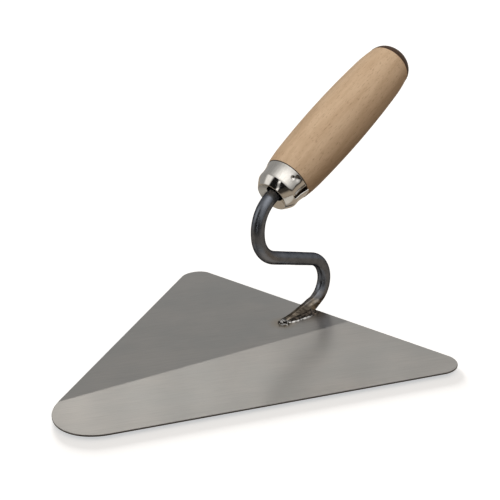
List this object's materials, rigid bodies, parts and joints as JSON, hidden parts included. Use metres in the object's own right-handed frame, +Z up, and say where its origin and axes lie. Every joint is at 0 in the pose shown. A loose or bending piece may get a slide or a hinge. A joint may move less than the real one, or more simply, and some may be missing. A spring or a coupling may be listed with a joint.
{
  "type": "triangular trowel",
  "caption": "Hand trowel: flat triangular steel blade with rounded corners, S-bent round neck welded near its heel edge, pressed ferrule, turned wooden handle with a dark domed end cap.",
  "frame": {"origin": "centre of the blade's triangle, on its underside", "axes": "+X from the blade's tip towards the heel edge and the handle, +Z up out of the blade's top face, so that XZ is the tool's plane of symmetry"},
  "size_m": [0.2691, 0.2232, 0.1516],
  "materials": {
    "blade_steel": "satin, fine rolled grain",
    "neck_steel": "dark mill scale, heat tinted at the foot",
    "weld_metal": "as welded, scaled and heat tinted",
    "ferrule_plating": "bright nickel plate",
    "handle_wood": "raw beech, sanded",
    "cap_plastic": "moulded, semi-matt"
  },
  "bodies": {
    "root": {"blade": "blade_steel", "neck_rod": "neck_steel", "weld_bead_left": "weld_metal", "weld_bead_right": "weld_metal", "weld_bead_toe": "weld_metal", "ferrule": "ferrule_plating", "handle": "handle_wood", "end_cap": "cap_plastic"}
  },
  "joints": []
}
